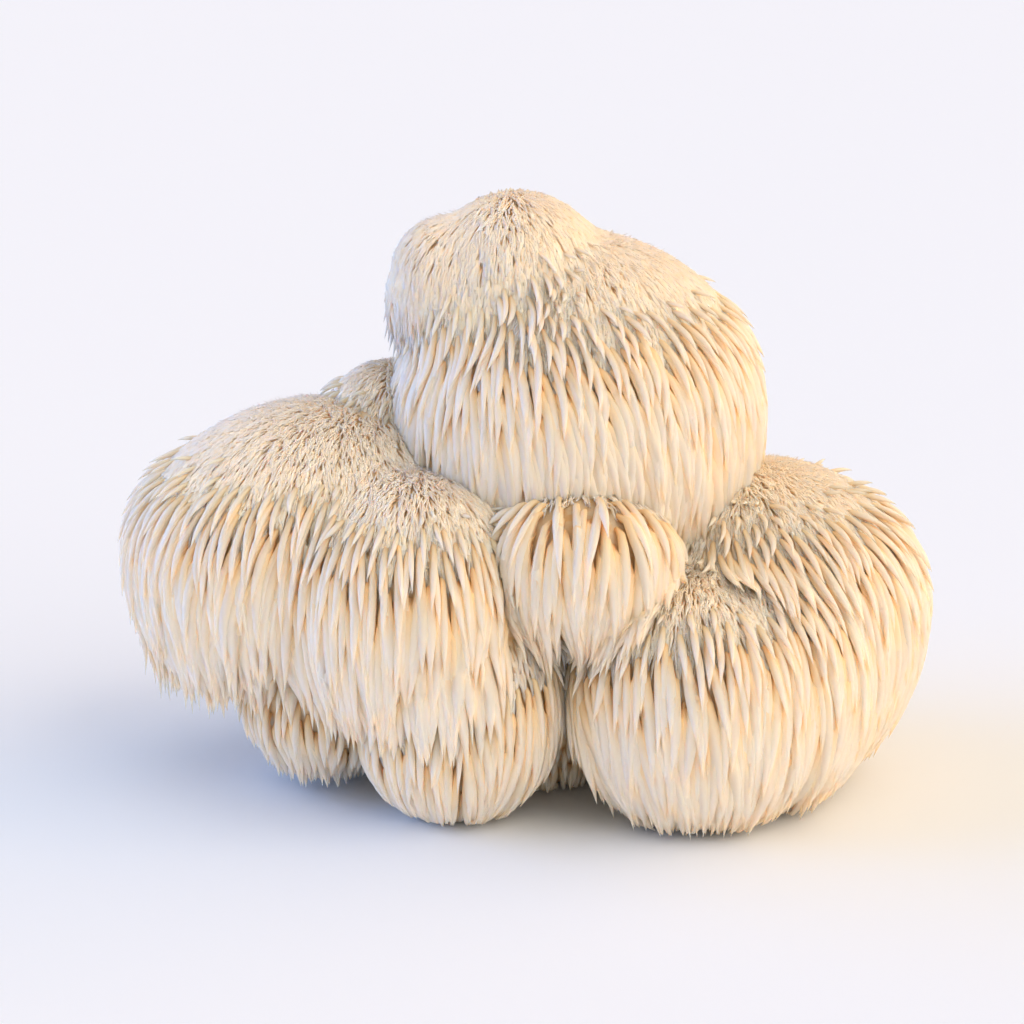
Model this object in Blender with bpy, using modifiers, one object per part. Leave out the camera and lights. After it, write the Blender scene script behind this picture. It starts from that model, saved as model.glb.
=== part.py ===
"""Lion's mane mushroom: one lobed fruit body, cut flat where it left the wood.

The solid reaches the tips of the spines, which hang from every lobe.
Metres, +Z up. The origin is in the middle of the cut, on the surface that the mushroom rests on.
The broad front, with the tall crown over a small lip, looks along -Y.
"""

import math

import bmesh
import bpy
from mathutils import Matrix

mm = 0.001

# Each lobe is one or more swellings that have grown together.
# middle: x, y, z.  reach: sideways, front to back, up and down, to the spines' tips.
# droop: 1 is an egg's round underside, less is fuller, as where spines hang straight.
# lean: degrees that a swelling's right side dips.
lobes = {
    "crown": [
        {"middle": (13, 8, 73), "reach": (39, 37, 37, 40), "droop": 0.6, "lean": 8},
        {"middle": (1, 9, 92), "reach": (23, 27, 26, 20), "droop": 1.0, "lean": 0},
        {"middle": (-5, 9, 90), "reach": (19.5, 27, 22, 32), "droop": 0.8, "lean": 0},
        {"middle": (-13, 9, 99), "reach": (13.5, 20, 14, 15), "droop": 1.0, "lean": 0},
    ],
    "lip": [{"middle": (13, -22, 50), "reach": (22, 19, 18, 18), "droop": 1.0, "lean": 0}],
    "saddle": [{"middle": (-24, 14, 66), "reach": (17, 20, 17.5, 16), "droop": 1.0, "lean": -25}],
    "left": [
        {"middle": (-41, 6, 48), "reach": (39, 37, 28.5, 30), "droop": 0.6, "lean": -13},
        {"middle": (-18, -18, 40), "reach": (28, 26, 28, 26), "droop": 0.7, "lean": 14},
    ],
    "left_rear": [{"middle": (-36, -2, 21), "reach": (22, 23, 21, 20.8), "droop": 1.0, "lean": 0}],
    "bulb": [{"middle": (-11, -22, 25.5), "reach": (23, 21, 24, 27), "droop": 0.9, "lean": 0}],
    "right": [
        {"middle": (52, 3, 36), "reach": (33, 34, 29, 35), "droop": 0.65, "lean": 14},
        {"middle": (50, -12, 27), "reach": (24, 28, 27, 26), "droop": 0.7, "lean": 6},
        {"middle": (36, -22, 25), "reach": (28, 26, 25, 26.5), "droop": 0.85, "lean": 0},
    ],
    "rear": [
        {"middle": (-22, 34, 42), "reach": (31, 24, 33, 37), "droop": 0.8, "lean": -8},
        {"middle": (26, 33, 40), "reach": (33, 25, 33, 36), "droop": 0.8, "lean": 8},
    ],
}
# The foot is the body that every lobe grows out of, and its underside is the cut.
foot = [{"middle": (1, 2, 36), "reach": (33, 27, 34, 44), "droop": 0.9, "lean": 0}]

points_round = 36
points_up = 22
pole_waist = 1e-6
lobe_grid = 3.5 * mm
lobe_smoothing = 6
skin_grid = 4.0 * mm
skin_smoothing = 1
cut_box = 240 * mm

flesh_cream = (0.86, 0.74, 0.58, 1)
flesh_roughness = 0.55


def clear_scene():
    for old in list(bpy.data.objects):
        bpy.data.objects.remove(old)


def new_collection(name):
    made = bpy.data.collections.new(name)
    bpy.context.scene.collection.children.link(made)
    return made


def add_object(name, shape, collection):
    """Turns a bmesh into an object in that collection."""
    mesh = bpy.data.meshes.new(name)
    shape.to_mesh(mesh)
    shape.free()
    made = bpy.data.objects.new(name, mesh)
    collection.objects.link(made)
    return made


def swelling(middle, reach, droop, lean):
    """A ball drawn out to its reach, fuller below its waist, then leant and put in place."""
    across, deep, up, down = (r * mm for r in reach)
    shape = bmesh.new()
    bmesh.ops.create_uvsphere(shape, u_segments=points_round, v_segments=points_up, radius=1)
    for point in shape.verts:
        x, y, z = point.co
        waist = math.hypot(x, y)
        full = waist ** (droop - 1) if z < 0 and waist > pole_waist else 1
        point.co = (x * full * across, y * full * deep, z * (up if z > 0 else down))
    place = Matrix.Translation([m * mm for m in middle])
    place @= Matrix.Rotation(math.radians(lean), 4, "Y")
    bmesh.ops.transform(shape, matrix=place, verts=shape.verts)
    return shape


def combine(body, operation, other):
    """A Boolean with a helper, which is then no part of its own."""
    step = body.modifiers.new(other.name, "BOOLEAN")
    step.solver = "MANIFOLD"  # every shape here is closed, and EXACT drops the rear lobe's join
    step.operation = operation
    step.object = other
    other.hide_render = True
    other.display_type = "WIRE"


def add_skin(body, grid, smoothing):
    """One even, smooth skin in place of the surfaces that were joined."""
    skin = body.modifiers.new("skin", "REMESH")
    skin.mode = "VOXEL"
    skin.voxel_size = grid
    body.modifiers.new("smooth", "SMOOTH").iterations = smoothing


def lobe(name, swellings, collection):
    """A lobe's swellings joined in one skin, with no crease where they meet."""
    grown = add_object(name, swelling(**swellings[0]), collection)
    for number, sizes in enumerate(swellings[1:], 2):
        combine(grown, "UNION", add_object(f"{name}_{number}", swelling(**sizes), helpers))
    add_skin(grown, lobe_grid, lobe_smoothing)
    return grown


def mushroom_flesh():
    material = bpy.data.materials.new("mushroom_flesh")
    material.use_nodes = True
    shader = material.node_tree.nodes["Principled BSDF"]
    shader.inputs["Base Color"].default_value = flesh_cream
    shader.inputs["Roughness"].default_value = flesh_roughness
    shader.inputs["Metallic"].default_value = 0
    return material


clear_scene()
mushroom = new_collection("lions_mane_mushroom")
helpers = new_collection("lobes_and_cutter")

# Lobes meet in deep clefts, so they are joined with no smoothing between them.
fruit_body = lobe("fruit_body", foot, mushroom)
for lobe_name, swellings in lobes.items():
    combine(fruit_body, "UNION", lobe(lobe_name, swellings, helpers))

add_skin(fruit_body, skin_grid, skin_smoothing)

# The cut takes off everything below the surface that the mushroom rests on.
below = bmesh.new()
bmesh.ops.create_cube(below, size=cut_box)
bmesh.ops.translate(below, vec=(0, 0, -cut_box / 2), verts=below.verts)
combine(fruit_body, "DIFFERENCE", add_object("cut", below, helpers))

fruit_body.data.shade_smooth()
fruit_body.data.materials.append(mushroom_flesh())
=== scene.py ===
import math

import bmesh
import bpy
import numpy as np
from mathutils import Matrix, Vector
from mathutils.bvhtree import BVHTree


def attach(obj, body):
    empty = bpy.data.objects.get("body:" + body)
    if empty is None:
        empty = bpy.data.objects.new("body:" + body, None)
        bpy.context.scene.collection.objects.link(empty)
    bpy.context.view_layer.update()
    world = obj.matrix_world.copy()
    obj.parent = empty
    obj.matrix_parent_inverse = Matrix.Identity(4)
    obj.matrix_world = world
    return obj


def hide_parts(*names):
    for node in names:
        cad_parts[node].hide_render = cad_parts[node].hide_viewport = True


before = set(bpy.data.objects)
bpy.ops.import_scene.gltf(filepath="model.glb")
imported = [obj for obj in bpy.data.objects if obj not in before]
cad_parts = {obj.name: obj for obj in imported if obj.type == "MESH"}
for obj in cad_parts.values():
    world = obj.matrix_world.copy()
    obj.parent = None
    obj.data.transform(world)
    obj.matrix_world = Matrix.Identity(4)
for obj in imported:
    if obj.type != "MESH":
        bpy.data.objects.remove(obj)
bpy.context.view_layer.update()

mm = 0.001
cadNode = "fruit_body"
bakeMap = "OFBake"  # across a spine's map is its tone, up it is the length


def addNode(tree, kind, *values, **settings):
    # values go to the node's live inputs in order, or by name where they come as a dictionary
    node = tree.nodes.new(kind)
    for name, setting in settings.items():
        setattr(node, name, setting)
    live = [socket for socket in node.inputs if socket.enabled]
    pairs = list(zip(live, values))
    if values and isinstance(values[-1], dict):
        pairs = pairs[:len(values) - 1]
        for name, value in values[-1].items():
            pairs.append((next(socket for socket in live if socket.name == name), value))
    for socket, value in pairs:
        if isinstance(value, bpy.types.NodeSocket):
            tree.links.new(value, socket)
        elif value is not None:
            socket.default_value = value
    shown = [socket for socket in node.outputs if socket.enabled]
    return shown[0] if shown else node


def hexColour(code):
    parts = [int(code[i:i + 2], 16) / 255 for i in (0, 2, 4)]
    return [p / 12.92 if p <= 0.04045 else ((p + 0.055) / 1.055) ** 2.4 for p in parts] + [1]


# Moist, waxy fungus tissue: pale cream, drier at the tip; the deeper tan at the root, where spines crowd, is
# painted warm shade of the gaps between them
spineLook = {
    "name": "moistSpineTissue",
    "ramp": ((0.0, "F2C486"), (0.2, "F2D6AA"), (0.45, "EEE0C8"), (0.75, "EEE5D6"), (1.0, "EADAC0")),
    "warm": "F0D8B0", "warmShare": 0.18, "roughness": 0.45,
    "glow": 0.7, "glowDepth": 2.0 * mm, "fibres": 55, "fibreBump": 0.1,
}
fuzzLook = {  # younger tissue, whiter and drier
    "name": "fineFuzzTissue",
    # the tan at the fuzz's roots is painted warm shade of the gaps between the strands
    "ramp": ((0.0, "E8C898"), (0.25, "E2D2B8"), (0.6, "DED7CD"), (0.86, "DED9D2"), (1.0, "DED4C6")),
    "warm": "E2D5C2", "warmShare": 0.3, "roughness": 0.65,
    "glow": 0.6, "glowDepth": 1.8 * mm, "fibres": 20, "fibreBump": 0.05,
}
tissue = {  # what both kinds share
    "warmFrom": 0.4,  # spines whose tone is above this are a little warmer
    "alongFibre": 4, "fibreDetail": 2.0, "fibreHeight": 0.3 * mm,
    "glowColour": (1.0, 0.6, 0.35),  # red light goes deepest
}


def growingTissue(look):
    material = bpy.data.materials.new(look["name"])
    material.use_nodes = True
    tree = material.node_tree
    tree.nodes.clear()
    tone = addNode(tree, "ShaderNodeSeparateXYZ", addNode(tree, "ShaderNodeUVMap", uv_map=bakeMap))
    along = tone.node.outputs["Y"]
    # colour along the strand, from root to tip; its tan root end is painted warm shade of the gaps between
    # strands
    ramp = addNode(tree, "ShaderNodeValToRGB", along)
    steps = ramp.node.color_ramp.elements
    steps[0].color = hexColour(look["ramp"][0][1])
    steps[1].color = hexColour(look["ramp"][-1][1])
    for place, colour in look["ramp"][1:-1]:
        steps.new(place).color = hexColour(colour)
    older = addNode(tree, "ShaderNodeMapRange", tone, tissue["warmFrom"], 1.0, 0.0, look["warmShare"])
    colour = addNode(tree, "ShaderNodeMix", older, ramp, hexColour(look["warm"]), data_type="RGBA")
    fibre = addNode(
        tree, "ShaderNodeVectorMath", addNode(tree, "ShaderNodeUVMap", uv_map=bakeMap),
        (look["fibres"], tissue["alongFibre"], 1), operation="MULTIPLY")
    noise = addNode(tree, "ShaderNodeTexNoise", fibre, {
        "Scale": 1.0, "Detail": tissue["fibreDetail"]}, noise_dimensions="2D")
    bump = addNode(tree, "ShaderNodeBump", {
        "Strength": look["fibreBump"], "Distance": tissue["fibreHeight"], "Height": noise})
    skin = addNode(tree, "ShaderNodeBsdfPrincipled", {
        "Base Color": colour, "Roughness": look["roughness"], "Normal": bump,
        "Subsurface Weight": look["glow"], "Subsurface Radius": tissue["glowColour"],
        "Subsurface Scale": look["glowDepth"]}, subsurface_method="BURLEY")
    addNode(tree, "ShaderNodeOutputMaterial", skin)
    return material


# The body under the spines: spongy and a little dry, so it is matt, with random mottling; its tan, seen only
# in the gaps, is in part painted warm shade of the clefts
fleshLook = {"deep": "F0C488", "light": "F4E0BE", "grain": 2.2, "detail": 3.0,
             "from": 0.35, "to": 0.65, "bump": 0.5, "bumpHeight": 0.5 * mm, "roughness": 0.7}


def spongyFlesh():
    look = fleshLook
    material = bpy.data.materials.new("spongyFlesh")
    material.use_nodes = True
    tree = material.node_tree
    tree.nodes.clear()
    place = addNode(tree, "ShaderNodeTexCoord").node.outputs["Object"]
    noise = addNode(tree, "ShaderNodeTexNoise", place, {
        "Scale": 1 / (look["grain"] * mm), "Detail": look["detail"]})
    ramp = addNode(tree, "ShaderNodeValToRGB", noise)
    steps = ramp.node.color_ramp.elements
    steps[0].position = look["from"]
    steps[0].color = hexColour(look["deep"])
    steps[1].position = look["to"]
    steps[1].color = hexColour(look["light"])
    bump = addNode(tree, "ShaderNodeBump", {
        "Strength": look["bump"], "Distance": look["bumpHeight"], "Height": noise})
    skin = addNode(tree, "ShaderNodeBsdfPrincipled", {
        "Base Color": ramp, "Roughness": look["roughness"], "Normal": bump})
    addNode(tree, "ShaderNodeOutputMaterial", skin)
    return material


# The lobes, in millimetres in the frame. Each is one or more swellings, in the solid's own sizes:
# middle, then reach sideways, front to back, up and down, then droop and lean.
# long and wide: its long spines.  fuzzFrom: where it faces up more than this, only fuzz grows.
# whorl: where the fall parts, x and y.  fan: how far spines turn away from there.
# nap: where the fuzz lies away from.
# shortAbove: only fuzz grows above this height, which rises to the right by the second number.
# hem: the height that the tips come down to.
# cling: 1 keeps spines on the underside, 0 lets them hang free.
# downy: more than 1 where fuzz fills the creases too.
# over: the lobes that its tips lie over.
lobes = {
    "crown": {
        "swellings": [((13, 8, 73), (39, 37, 37, 40), 0.6, 8), ((1, 9, 92), (23, 27, 26, 20), 1.0, 0),
                      ((-5, 9, 90), (19.5, 27, 22, 32), 0.8, 0), ((-13, 9, 99), (13.5, 20, 14, 15), 1.0, 0)],
        "long": 32, "wide": 2.8, "fuzzFrom": 0.7, "whorl": (-12, -4), "nap": (-4, 16),
        "fan": 0.7, "hem": 41, "cling": 0.4, "shortAbove": (106, 0.42), "downy": 0, "over": []},
    "lip": {
        "swellings": [((13, -22, 50), (22, 19, 17, 18), 1.0, 0)],
        "long": 27, "wide": 2.4, "fuzzFrom": 1.6, "whorl": (12, -2), "nap": (12, -2),
        "fan": 0.15, "hem": 33, "cling": 0.6, "shortAbove": (200, 0), "downy": 1.3,
        "over": ["bulb", "right"]},
    "saddle": {
        "swellings": [((-24, 14, 66), (17, 20, 17.5, 16), 1.0, -25)],
        "long": 10, "wide": 1.4, "fuzzFrom": 0.75, "whorl": (-8, 10), "nap": (-8, 14),
        "fan": 0.8, "hem": 48, "cling": 0.5, "shortAbove": (200, 0), "downy": 0, "over": []},
    "left": {
        "swellings": [((-41, 6, 48), (39, 37, 28.5, 30), 0.6, -13),
                      ((-18, -18, 40), (28, 26, 28, 26), 0.7, 14)],
        "long": 32, "wide": 2.5, "fuzzFrom": 0.76, "whorl": (-21, 3), "nap": (-18, 10),
        "fan": 0.7, "hem": 19, "cling": 0.6, "shortAbove": (200, 0), "downy": 0,
        "over": ["bulb", "leftRear"]},
    "leftRear": {
        "swellings": [((-36, -2, 21), (22, 23, 21, 20.8), 1.0, 0)],
        "long": 19, "wide": 2.2, "fuzzFrom": 0.8, "whorl": (-36, 0), "nap": (-36, 0),
        "fan": 0.3, "hem": 3, "cling": 0.6, "shortAbove": (200, 0), "downy": 0, "over": []},
    "bulb": {
        "swellings": [((-11, -22, 25.5), (23, 21, 24, 27), 0.9, 0)],
        "long": 30, "wide": 2.2, "fuzzFrom": 0.9, "whorl": (-11, -20), "nap": (-11, -20),
        "fan": 0.1, "hem": 0, "cling": 0.95, "shortAbove": (200, 0), "downy": 1.0, "over": []},
    "right": {
        "swellings": [((52, 3, 36), (33, 34, 29, 35), 0.65, 14), ((50, -12, 27), (24, 28, 27, 26), 0.7, 6),
                      ((36, -22, 25), (28, 26, 25, 26.5), 0.85, 0)],
        "long": 30, "wide": 2.6, "fuzzFrom": 0.85, "whorl": (27, 0), "nap": (26, 5),
        "fan": 0.7, "hem": 0, "cling": 0.8, "shortAbove": (200, 0), "downy": 1.3, "over": []},
    "rearLeft": {
        "swellings": [((-22, 34, 42), (31, 24, 33, 37), 0.8, -8)],
        "long": 27, "wide": 2.5, "fuzzFrom": 0.65, "whorl": (-18, 26), "nap": (-14, 20),
        "fan": 0.4, "hem": 5, "cling": 0.4, "shortAbove": (200, 0), "downy": 0, "over": []},
    "rearRight": {
        "swellings": [((26, 33, 40), (33, 25, 33, 36), 0.8, 8)],
        "long": 27, "wide": 2.5, "fuzzFrom": 0.65, "whorl": (22, 26), "nap": (18, 20),
        "fan": 0.4, "hem": 5, "cling": 0.4, "shortAbove": (200, 0), "downy": 0, "over": []},
    "foot": {
        "swellings": [((1, 2, 36), (33, 27, 34, 44), 0.9, 0)],
        "long": 8, "wide": 1.6, "fuzzFrom": 1.6, "whorl": (1, 2), "nap": (1, 2),
        "fan": 0, "hem": 2, "cling": 0.8, "shortAbove": (200, 0), "downy": 0, "over": []},
}
fleshSizes = {
    "slopes": (-1.0, -0.4, 0.2, 0.6, 1.0),  # how far the surface faces up, from straight down
    "depths": (8.0, 7.0, 4.4, 2.4, 1.3),  # and how far the flesh lies inside the tips there
    "shortDepths": (3.2, 8.0),  # the most it may be where only fuzz grows, and shortBand below there
    "shortBand": 9.0,
    "clingDepth": 0.5,  # how much shallower that is where spines cling
    "clingSlope": 0.6,  # and from which slope down
    "ballSides": 48, "ballRings": 30,
    "lobeGrid": 2.2, "lobeRounds": 6, "grid": 2.0, "rounds": 2,  # the skins' grids and rounds of smoothing
}


def showObject(name, mesh):
    made = bpy.data.objects.new(name, mesh)
    bpy.context.scene.collection.objects.link(made)
    return made


def plainMesh(owner):
    # The owner's mesh with its modifiers done, in place of the owner
    graph = bpy.context.evaluated_depsgraph_get()
    mesh = bpy.data.meshes.new_from_object(owner.evaluated_get(graph))
    bpy.data.objects.remove(owner)
    return mesh


def skinned(name, shape, grid, rounds):
    # One even skin round everything in the shape
    mesh = bpy.data.meshes.new(name)
    shape.to_mesh(mesh)
    shape.free()
    owner = showObject(name, mesh)
    skin = owner.modifiers.new("skin", "REMESH")
    skin.mode = "VOXEL"
    skin.voxel_size = grid * mm
    owner.modifiers.new("smooth", "SMOOTH").iterations = rounds
    return plainMesh(owner)


def readPoints(mesh):
    places = np.empty(len(mesh.vertices) * 3)
    mesh.vertices.foreach_get("co", places)
    outward = np.empty(len(mesh.vertices) * 3)
    mesh.vertex_normals.foreach_get("vector", outward)
    return places.reshape(-1, 3), outward.reshape(-1, 3)


def addSwelling(shape, middle, reach, droop, lean):
    # A ball drawn out to its reach, with a fuller underside where droop is less than 1
    across, deep, up, down = reach
    sides, rings = fleshSizes["ballSides"], fleshSizes["ballRings"]
    ball = bmesh.ops.create_uvsphere(shape, u_segments=sides, v_segments=rings, radius=1)["verts"]
    for point in ball:
        x, y, z = point.co
        waist = max(math.hypot(x, y), 1e-6)
        full = waist ** (droop - 1) if z < 0 else 1
        point.co = Vector((x * full * across, y * full * deep, z * (up if z > 0 else down))) * mm
    place = Matrix.Translation(Vector(middle) * mm) @ Matrix.Rotation(math.radians(lean), 4, "Y")
    bmesh.ops.transform(shape, matrix=place, verts=ball)


def belowFuzz(name, places):
    # How far below the height from which only fuzz grows, in millimetres
    top, rise = lobes[name]["shortAbove"]
    return top + (rise * places[:, 0] - places[:, 2]) / mm


def lobeFlesh(name):
    # The lobe's tips' surface, moved in by the depth of its spines
    shape = bmesh.new()
    for middle, reach, droop, lean in lobes[name]["swellings"]:
        addSwelling(shape, middle, reach, droop, lean)
    mesh = skinned(name, shape, fleshSizes["lobeGrid"], fleshSizes["lobeRounds"])
    places, outward = readPoints(mesh)
    size = fleshSizes
    depth = np.interp(outward[:, 2], size["slopes"], size["depths"]) * mm
    short = np.interp(belowFuzz(name, places), (0, size["shortBand"]), size["shortDepths"])
    depth = np.minimum(depth, short * mm)
    depth *= 1 - size["clingDepth"] * lobes[name]["cling"] * np.clip(size["clingSlope"] - outward[:, 2], 0, 1)
    places -= outward * depth[:, None]
    mesh.vertices.foreach_set("co", places.ravel())
    mesh.update()
    return mesh


def wholeFlesh():
    # Every lobe's flesh in one skin, flat at the cut
    shape = bmesh.new()
    for mesh in lobeMeshes.values():
        shape.from_mesh(mesh)
    mesh = skinned("flesh", shape, fleshSizes["grid"], fleshSizes["rounds"])
    places, outward = readPoints(mesh)
    places[:, 2] = np.maximum(places[:, 2], 0)
    mesh.vertices.foreach_set("co", places.ravel())
    mesh.update()
    print("flesh", len(mesh.polygons), "faces")
    return mesh


# How spines and fuzz are spread over a lobe, in millimetres unless they are shares or slopes
growthSizes = {
    "turn": 20.0,  # how far from a whorl the fan grows by its own size
    "mostFan": 1.0,  # the strongest pull away from a whorl, where the pull down is 1
    "tuck": 8.0,  # how far past the hem a clinging spine may go
    "dropFrom": 3.0,  # how far out of the flesh the free drop below is measured
    "overlap": 8.0,  # how far tips hang over the lobe below
    "shadow": 1.5,  # how near another lobe's flesh roots stop
    "crease": 9.0,  # how near a lobe above them spines start to shorten
    "lowestRoot": 1.5,  # nothing grows from the cut
    "ripeSlope": 0.7, "ripeLead": 0.05,  # the slope over which spines get their full length
    "ripeBand": 20.0,  # and the height below the fuzz
    "napNear": 0.3,  # how near its whorl the fuzz stands up
    "longSlope": 0.15, "longLead": 0.5, "longBand": 3.0,  # where long spines give way to fuzz
    "thinBy": 2.2, "bareAt": 0.2,  # how fast they thin out in a crease
    "fuzzSlope": 0.3, "fuzzLead": 1.3,  # fuzz reaches further down than long spines start
    "fuzzFull": 1.6, "fuzzBand": 8.0,  # and thins out below the height from which only fuzz grows
    "downBy": 2.0,  # how fast a downy lobe's fuzz leaves its creases
    "young": 6.0, "least": 3.0, "youngWide": 0.9, "growth": 0.8,  # spines next to the fuzz
    "creaseReach": (0.3, 0.7), "creaseWidth": (0.5, 0.5),  # the share left in a crease, and the rest
    "fuzzReach": (5.0, 7.0), "fuzzWidth": (0.5, 0.8), "fuzzMost": 0.6,  # on top, and more on the sides
}


def flowFrom(whorl, places):
    # The level way out from the whorl, longer the further it is from it
    flow = (places[:, :2] / mm - np.array(whorl)) / growthSizes["turn"]
    return np.column_stack([flow, 0 * flow[:, 0]])


def describeLobe(name):
    # What grows at each point of the lobe, from how far it faces up and what lies near it
    look = lobes[name]
    size = growthSizes
    places, outward = readPoints(lobeMeshes[name])
    up = outward[:, 2]
    gap = np.full(len(places), 1.0)
    crease = np.ones(len(places))
    room = places[:, 2] - look["hem"] * mm + size["tuck"] * look["cling"] ** 2 * mm
    for other, tree in lobeTrees.items():
        if other == name:
            continue
        for i, (place, side) in enumerate(zip(places, outward)):
            point, normal, face, distance = tree.find_nearest(Vector(place))
            away = distance if (Vector(place) - point).dot(normal) > 0 else -distance
            gap[i] = min(gap[i], away)
            if away > 0:
                if point.z > place[2]:
                    crease[i] = min(crease[i], away / (size["crease"] * mm))
                start = Vector(place + side * size["dropFrom"] * mm)
                hit = tree.ray_cast(start, Vector((0, 0, -1)))
                if hit[0]:
                    room[i] = min(room[i], hit[3] + size["overlap"] * mm)
    bare = np.clip(gap / (size["shadow"] * mm), 0, 1)
    bare[places[:, 2] < size["lowestRoot"] * mm] = 0
    below = belowFuzz(name, places)
    ripe = np.clip((look["fuzzFrom"] - up) / size["ripeSlope"] + size["ripeLead"], 0, 1)
    ripe *= np.clip(below / size["ripeBand"], 0, 1)
    ripe = ripe ** size["growth"]

    # Where each kind grows
    thin = bare * np.clip(size["thinBy"] * crease - size["bareAt"], 0, 1)
    longShare = np.clip((look["fuzzFrom"] - up) / size["longSlope"] + size["longLead"], 0, 1)
    longShare = longShare * np.clip(below / size["longBand"], 0, 1) * thin
    onTop = (up - look["fuzzFrom"]) / size["fuzzSlope"] + size["fuzzLead"]
    high = size["fuzzFull"] - below / size["fuzzBand"]
    inCrease = look["downy"] - size["downBy"] * crease
    fuzzShare = np.clip(np.max((onTop, high, inCrease), axis=0), 0, 1) * bare

    # How long and wide
    full = (size["young"] + (look["long"] - size["young"]) * ripe) * mm
    reachLeft, reachRest = size["creaseReach"]
    longReach = np.clip(np.minimum(full, room), size["least"] * mm, None) * (reachLeft + reachRest * crease)
    widthLeft, widthRest = size["creaseWidth"]
    longWidth = size["youngWide"] + (look["wide"] - size["youngWide"]) * ripe
    longWidth = longWidth * (widthLeft + widthRest * crease) * mm
    side = np.clip(1 - up, 0, size["fuzzMost"])
    fuzzReach = (size["fuzzReach"][0] + size["fuzzReach"][1] * side) * mm
    fuzzWidth = (size["fuzzWidth"][0] + size["fuzzWidth"][1] * side) * mm

    # Which way
    comb = flowFrom(look["whorl"], places) * look["fan"]
    comb /= np.maximum(np.linalg.norm(comb, axis=1) / size["mostFan"], 1)[:, None]
    nap = flowFrom(look["nap"], places)
    nap /= np.maximum(np.linalg.norm(nap, axis=1), size["napNear"])[:, None]
    return {
        "longShare": longShare, "longReach": longReach, "longWidth": longWidth, "comb": comb,
        "fuzzShare": fuzzShare, "fuzzReach": fuzzReach, "fuzzWidth": fuzzWidth, "nap": nap,
        "cling": look["cling"] * np.ones(len(places)),
    }


# How one strand grows, the same for spines and fuzz
strandSizes = {
    "crowding": 3.0,  # roots tried in each square of the spacing
    "layer": (0.7, 1.0), "tone": (0.0, 1.0), "reach": (0.7, 1.05), "width": (0.8, 1.2),  # least and most
    "rise": 0.8,  # how soon a strand gets to its own height in the thatch
    "early": 1.25,  # how soon the comb's pull ends
    "meet": 4 * mm,  # how near its own height a strand starts to slide along the flesh
    "clingLoss": 4.0, "tipLoss": 2.0,  # how clinging strands come loose towards the tip
    "hold": -0.6, "mostLift": 1.2,  # how fast it may sink and rise
    "outline": ((0, 0.5), (0.22, 0.85), (0.45, 1.0), (0.62, 0.86), (0.8, 0.5), (0.92, 0.22), (1, 0.02)),
    "toneShare": 0.9, "edgeShare": 0.08,  # what the map's width holds
}


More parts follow.
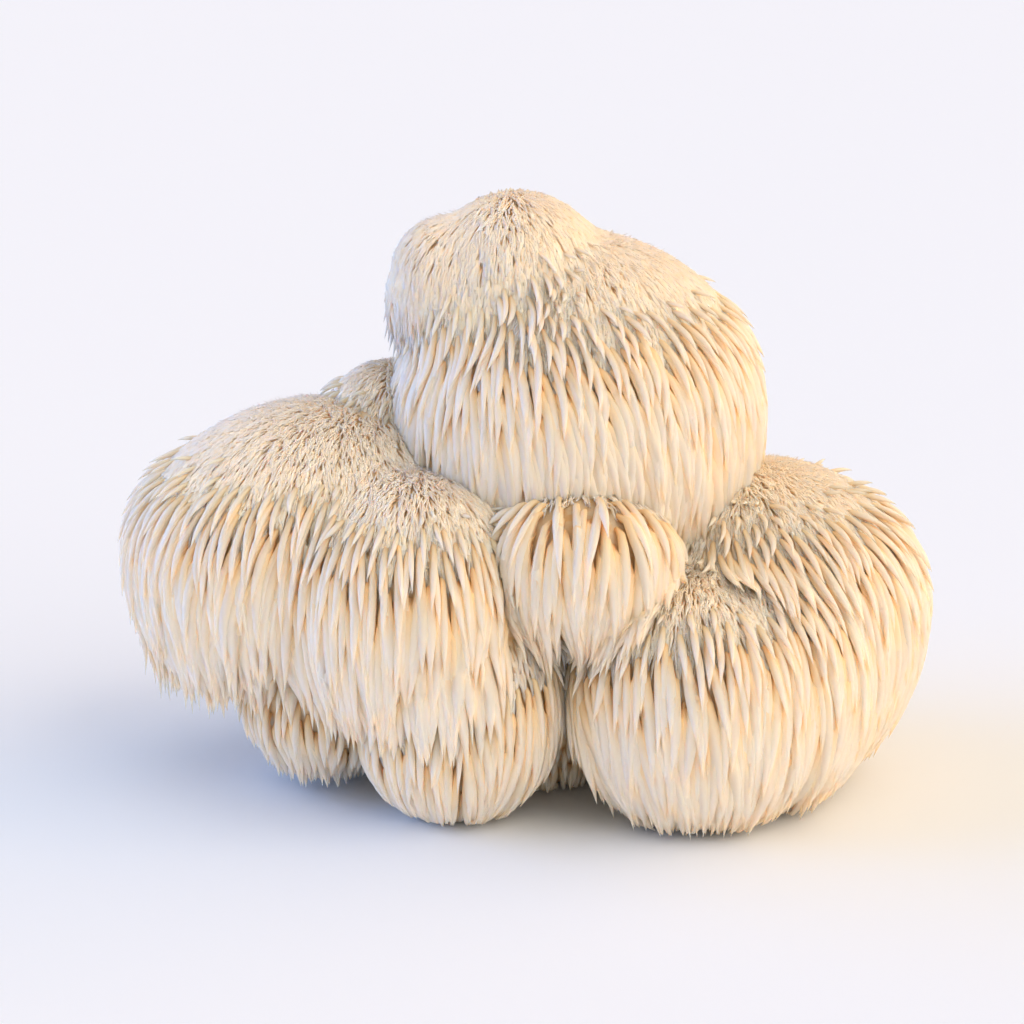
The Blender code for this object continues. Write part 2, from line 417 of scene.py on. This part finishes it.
def growingTree():
    # Roots spread over the flesh; from each a strand grows ring by ring, turning to its fall
    tree = bpy.data.node_groups.new("hangingSpines", "GeometryNodeTree")
    tree.is_modifier = True
    face = tree.interface
    face.new_socket("Geometry", in_out="INPUT", socket_type="NodeSocketGeometry")
    face.new_socket("Geometry", in_out="OUTPUT", socket_type="NodeSocketGeometry")
    kinds = {
        "Share": "String", "Reach": "String", "Width": "String", "Comb": "String", "Spacing": "Float",
        "Rings": "Int", "Sides": "Int", "Thatch": "Float", "Bend": "Float", "Sway": "Float", "Lock": "Float",
        "Lock Size": "Float", "Floor": "Float", "Seed": "Int", "Tissue": "Material",
    }
    for name, kind in kinds.items():
        face.new_socket(name, in_out="INPUT", socket_type="NodeSocket" + kind)
    given = tree.nodes.new("NodeGroupInput").outputs

    def add(kind, *values, **settings):
        return addNode(tree, kind, *values, **settings)

    number = "ShaderNodeMath"
    arrow = "ShaderNodeVectorMath"
    read = "GeometryNodeInputNamedAttribute"
    write = "GeometryNodeStoreNamedAttribute"
    chance = "FunctionNodeRandomValue"
    single = {"data_type": "FLOAT"}
    vectors = {"data_type": "FLOAT_VECTOR"}
    here = add("GeometryNodeInputPosition")
    order = add("GeometryNodeSplineParameter").node.outputs["Index"]

    # Roots
    spacing = given["Spacing"]
    crowding = add(number, strandSizes["crowding"], add(number, spacing, spacing, operation="MULTIPLY"),
                   operation="DIVIDE")
    share = add(read, given["Share"], **single)
    roots = add("GeometryNodeDistributePointsOnFaces", given["Geometry"], {
        "Distance Min": spacing, "Density Max": crowding, "Density Factor": share, "Seed": given["Seed"],
    }, distribute_method="POISSON")
    outward = add(arrow, add(read, "outward", **vectors), operation="NORMALIZE")
    roots = add(write, roots, None, "root", here, **vectors)
    roots = add(write, roots, None, "heading", outward, **vectors)
    for salt, (name, source) in enumerate((
            ("layer", None), ("tone", None), ("reach", given["Reach"]), ("width", given["Width"])), 11):
        seed = add(number, given["Seed"], salt, operation="ADD")
        low, high = strandSizes[name]
        value = add(chance, low, high, None, seed, **single)
        if source:
            value = add(number, value, add(read, source, **single), operation="MULTIPLY")
        roots = add(write, roots, None, name, value, **single)
    seed = add(number, given["Seed"], 17, operation="ADD")
    stray = add(chance, (-1, -1, -1), (1, 1, 1), None, seed, **vectors)
    roots = add(write, roots, None, "stray", stray, **vectors)

    # A strand of rings at each root
    strand = add("GeometryNodeResampleCurve", add("GeometryNodeCurvePrimitiveLine"), None, given["Rings"])
    strands = add("GeometryNodeInstanceOnPoints", roots, {"Instance": strand})
    strands = add("GeometryNodeRealizeInstances", strands)
    root = add(read, "root", **vectors)
    strands = add("GeometryNodeSetPosition", strands, None, root)

    # One turn of the zone moves every ring but those already placed
    steps = add(number, given["Rings"], 1.0, operation="SUBTRACT")
    zoneIn = tree.nodes.new("GeometryNodeRepeatInput")
    zoneOut = tree.nodes.new("GeometryNodeRepeatOutput")
    zoneIn.pair_with_output(zoneOut)
    tree.links.new(steps, zoneIn.inputs["Iterations"])
    tree.links.new(strands, zoneIn.inputs["Geometry"])
    turn = zoneIn.outputs["Iteration"]
    stepLength = add(number, add(read, "reach", **single), steps, operation="DIVIDE")
    grown = add(number, add(number, turn, 1.0, operation="ADD"), steps, operation="DIVIDE")

    # Height above the flesh, and the height that this spine's layer in the thatch wants
    nearest = add("GeometryNodeProximity", given["Geometry"], target_element="FACES")
    normal = add("GeometryNodeSampleNearestSurface", given["Geometry"], add(read, "outward", **vectors),
                 **vectors)
    normal = add(arrow, normal, operation="NORMALIZE")
    height = add(arrow, add(arrow, here, nearest, operation="SUBTRACT"), normal, operation="DOT_PRODUCT")
    rise = add(number, grown, strandSizes["rise"], operation="POWER")
    layer = add(number, given["Thatch"], add(read, "layer", **single), operation="MULTIPLY")
    wanted = add(number, layer, rise, operation="MULTIPLY")

    # The fall: down, with the lobe's comb, a pull to the middle of its lock, and a stray bit
    lockSize = given["Lock Size"]
    centre = add("ShaderNodeTexVoronoi", root, add(number, 1.0, lockSize, operation="DIVIDE"))
    centre = add(arrow, centre.node.outputs["Position"], root, operation="SUBTRACT")
    gather = add(arrow, centre, add(number, given["Lock"], lockSize, operation="DIVIDE"), operation="SCALE")
    stray = add(arrow, add(read, "stray", **vectors), given["Sway"], operation="SCALE")
    early = add(number, grown, strandSizes["early"], operation="MULTIPLY")
    early = add(number, 1.0, early, operation="SUBTRACT")
    early = add("ShaderNodeClamp", early)
    comb = add(read, given["Comb"], **vectors)
    outwards = add(number, add(arrow, comb, normal, operation="DOT_PRODUCT"), 0.0, operation="MAXIMUM")
    comb = add(arrow, comb, add(arrow, normal, outwards, operation="SCALE"), operation="SUBTRACT")
    fall = add(arrow, comb, early, operation="SCALE")
    fall = add(arrow, fall, (0, 0, -1), operation="ADD")
    fall = add(arrow, fall, add(arrow, gather, stray, operation="ADD"), operation="ADD")

    # It slides along the flesh where it meets it, and where it clings
    facing = add(arrow, fall, normal, operation="DOT_PRODUCT")
    gap = add(number, add(number, height, wanted, operation="SUBTRACT"), strandSizes["meet"],
              operation="DIVIDE")
    close = add("ShaderNodeClamp", add(number, 1.0, gap, operation="SUBTRACT"))
    inwards = add(number, add(number, facing, 0.0, operation="MINIMUM"), close, operation="MULTIPLY")
    cling = add(read, "cling", **single)
    loose = add(number, cling, strandSizes["clingLoss"], operation="POWER")
    loose = add(number, 1.0, loose, operation="SUBTRACT")
    late = add(number, grown, strandSizes["tipLoss"], operation="POWER")
    loose = add(number, loose, late, operation="MULTIPLY")
    cling = add(number, cling, add(number, 1.0, loose, operation="SUBTRACT"), operation="MULTIPLY")
    away = add(number, add(number, facing, 0.0, operation="MAXIMUM"), cling, operation="MULTIPLY")
    off = add(arrow, normal, add(number, inwards, away, operation="ADD"), operation="SCALE")
    slide = add(arrow, fall, off, operation="SUBTRACT")
    lift = add(number, add(number, wanted, height, operation="SUBTRACT"), stepLength, operation="DIVIDE")
    hold = add(number, add(number, cling, early, operation="ADD"), strandSizes["hold"], operation="MULTIPLY")
    lift = add("ShaderNodeClamp", lift, hold, strandSizes["mostLift"])
    target = add(arrow, slide, add(arrow, normal, lift, operation="SCALE"), operation="ADD")
    target = add(arrow, target, operation="NORMALIZE")
    heading = add(read, "heading", **vectors)
    mixed = add("ShaderNodeMix", given["Bend"], heading, target, data_type="VECTOR")
    mixed = add("ShaderNodeSeparateXYZ", add(arrow, mixed, operation="NORMALIZE"))

    # It never passes below the surface that the mushroom rests on
    low = add("ShaderNodeSeparateXYZ", here).node.outputs["Z"]
    leastFall = add(number, given["Floor"], low, operation="SUBTRACT")
    leastFall = add(number, leastFall, stepLength, operation="DIVIDE")
    leastFall = add(number, mixed.node.outputs["Z"], leastFall, operation="MAXIMUM")
    ahead = add("FunctionNodeCompare", order, turn, data_type="INT", operation="GREATER_THAN")
    turned = add("ShaderNodeCombineXYZ", mixed, mixed.node.outputs["Y"], leastFall)
    body = add(write, zoneIn.outputs["Geometry"], ahead, "heading", turned, **vectors)
    step = add(arrow, heading, stepLength, operation="SCALE")
    body = add("GeometryNodeSetPosition", body, ahead, None, step)
    tree.links.new(body, zoneOut.inputs["Geometry"])

    # The strand gets its thickness: narrow at the root, full in the middle, fine at the tip
    share = add(number, order, steps, operation="DIVIDE")
    strands = add(write, zoneOut.outputs["Geometry"], None, "along", share, **single)
    along = add(read, "along", **single)
    outline = add("ShaderNodeFloatCurve", None, along)
    curve = outline.node.mapping.curves[0]
    places = strandSizes["outline"]
    curve.points[0].location = places[0]
    curve.points[1].location = places[-1]
    for place, full in places[1:-1]:
        curve.points.new(place, full)
    outline.node.mapping.update()
    radius = add(number, add(read, "width", **single), 0.5, operation="MULTIPLY")
    radius = add(number, radius, outline, operation="MULTIPLY")
    ring = add("GeometryNodeCurvePrimitiveCircle", given["Sides"], 1.0)
    around = add(number, add("GeometryNodeSplineParameter"), 2.0, operation="MULTIPLY")
    around = add(number, add(number, around, 1.0, operation="SUBTRACT"), operation="ABSOLUTE")
    ring = add(write, ring, None, "around", around, **single)
    body = add("GeometryNodeCurveToMesh", strands, ring, radius, True)

    # Its map, its finish
    tone = add(number, add(read, "tone", **single), strandSizes["toneShare"], operation="MULTIPLY")
    edge = add(number, add(read, "around", **single), strandSizes["edgeShare"], operation="MULTIPLY")
    place = add("ShaderNodeCombineXYZ", add(number, tone, edge, operation="ADD"), along)
    body = add(write, body, None, bakeMap, place, data_type="FLOAT2", domain="CORNER")
    body = add("GeometryNodeSetShadeSmooth", body)
    body = add("GeometryNodeRealizeInstances", body)
    body = add("GeometryNodeSetMaterial", body, None, given["Tissue"])
    add("NodeGroupOutput", body)
    return tree


def grow(name, over, facts, settings):
    # Grows one piece on the lobe's flesh, over the flesh below it, and keeps it as a plain mesh
    shape = bmesh.new()
    for lobe in over:
        shape.from_mesh(lobeMeshes[lobe])
    ground = bpy.data.meshes.new(name)
    shape.to_mesh(ground)
    shape.free()
    facts = {**facts, "outward": readPoints(ground)[1]}
    for key, values in facts.items():
        solid = values.ndim == 2
        values = np.concatenate([values, np.zeros((len(ground.vertices) - len(values), 3)[:values.ndim])])
        layer = ground.attributes.new(key, "FLOAT_VECTOR" if solid else "FLOAT", "POINT")
        layer.data.foreach_set("vector" if solid else "value", values.astype(np.float32).ravel())
    owner = showObject(name, ground)
    growth = owner.modifiers.new("growth", "NODES")
    growth.node_group = growing
    for item in growing.interface.items_tree:
        if item.in_out == "INPUT" and item.name in settings:
            growth[item.identifier] = settings[item.name]
    made = plainMesh(owner)
    spare = {layer.name for layer in made.attributes} & (set(facts) | {
        "root", "heading", "layer", "tone", "reach", "width", "stray", "along", "around"})
    for layer in spare:
        made.attributes.remove(made.attributes[layer])
    made.name = name
    made.calc_loop_triangles()
    print(name, len(made.loop_triangles), "triangles")
    return showObject(name, made)


# First the names of the facts that each kind reads. Thatch is how high the tips stand off the flesh,
# Bend how fast a strand turns to its fall, Lock how much neighbours bunch, Floor the lowest height.
spines = {
    "Share": "longShare", "Reach": "longReach", "Width": "longWidth", "Comb": "comb", "Spacing": 2.0 * mm,
    "Rings": 9, "Sides": 5, "Thatch": 3.8 * mm, "Bend": 0.78, "Sway": 0.08, "Lock": 0.2,
    "Lock Size": 8 * mm, "Floor": 0.9 * mm,
}
fuzz = {
    "Share": "fuzzShare", "Reach": "fuzzReach", "Width": "fuzzWidth", "Comb": "nap", "Spacing": 0.53 * mm,
    "Rings": 4, "Sides": 3, "Thatch": 0.9 * mm, "Bend": 0.85, "Sway": 0.2, "Lock": 0.25,
    "Lock Size": 3 * mm, "Floor": 0.6 * mm,
}

lobeMeshes = {name: lobeFlesh(name) for name in lobes}
lobeTrees = {}
for name, mesh in lobeMeshes.items():
    lobeTrees[name] = BVHTree.FromPolygons([v.co for v in mesh.vertices], [p.vertices for p in mesh.polygons])
flesh = wholeFlesh()
tissues = {"spines": growingTissue(spineLook), "fuzz": growingTissue(fuzzLook)}
fleshMaterial = spongyFlesh()
growing = growingTree()
pieces = []
for seed, name in enumerate(lobes, 1):
    facts = describeLobe(name)
    for kind, settings in (("spines", spines), ("fuzz", fuzz)):
        if not facts[settings["Share"]].any():
            continue
        settings = {**settings, "Seed": seed, "Tissue": tissues[kind]}
        pieces.append(grow(f"{name}_{kind}", [name] + lobes[name]["over"], facts, settings))

body = showObject("flesh", flesh)
body.data.materials.clear()
body.data.materials.append(fleshMaterial)
body.data.shade_smooth()
pieces.append(body)
for piece in pieces:
    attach(piece, "root")
    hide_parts(cadNode)

# The studio
studio = {
    "lookAt": (0, 0, 55), "distance": 562.5, "lens": 100, "elevation": 15,
    "nearest": 0.01, "floorSize": 4, "floorRoughness": 0.9,
    "floor": "FCFDFF", "sky": "FFFEFB", "skyStrength": 0.56,
}
lights = {  # from is the way to each light, right, back and up; spread is its width in degrees
    "key": {"from": (0.68, -0.45, 0.6), "spread": 60, "strength": 1.1, "colour": "FFF6EA"},
    "coolSide": {"from": (-0.97, 0.1, 0.2), "spread": 60, "strength": 2.9, "colour": "6CA6FF"},
    "warmSide": {"from": (0.9, 0.3, 0.35), "spread": 60, "strength": 1.3, "colour": "FFD08A"},
}


def aim(thing, at, target):
    thing.location = Vector(at) * mm
    thing.rotation_euler = (Vector(target) * mm - thing.location).to_track_quat("-Z", "Y").to_euler()


camera = bpy.data.objects.new("camera", bpy.data.cameras.new("camera"))
bpy.context.scene.collection.objects.link(camera)
camera.data.lens = studio["lens"]
camera.data.clip_start = studio["nearest"]
tilt = math.radians(studio["elevation"])
away = studio["distance"]
aim(camera, (0, -away * math.cos(tilt), studio["lookAt"][2] + away * math.sin(tilt)), studio["lookAt"])
bpy.context.scene.camera = camera

for name, light in lights.items():
    lamp = bpy.data.lights.new(name, "SUN")
    lamp.angle = math.radians(light["spread"])
    lamp.energy = light["strength"]
    lamp.color = hexColour(light["colour"])[:3]
    holder = bpy.data.objects.new(name, lamp)
    bpy.context.scene.collection.objects.link(holder)
    holder.rotation_euler = Vector(light["from"]).to_track_quat("Z", "Y").to_euler()

world = bpy.data.worlds.new("studio")
world.use_nodes = True
backdrop = world.node_tree.nodes["Background"]
backdrop.inputs["Color"].default_value = hexColour(studio["sky"])
backdrop.inputs["Strength"].default_value = studio["skyStrength"]
bpy.context.scene.world = world

floorShape = bmesh.new()
bmesh.ops.create_grid(floorShape, x_segments=1, y_segments=1, size=studio["floorSize"])
floorMesh = bpy.data.meshes.new("floor")
floorShape.to_mesh(floorMesh)
floorShape.free()
floor = showObject("floor", floorMesh)
paper = bpy.data.materials.new("mattPaper")
paper.use_nodes = True
paperSkin = paper.node_tree.nodes["Principled BSDF"]
paperSkin.inputs["Base Color"].default_value = hexColour(studio["floor"])
paperSkin.inputs["Roughness"].default_value = studio["floorRoughness"]
floorMesh.materials.append(paper)
bpy.context.scene.view_settings.view_transform = "Standard"
print("studio ready")
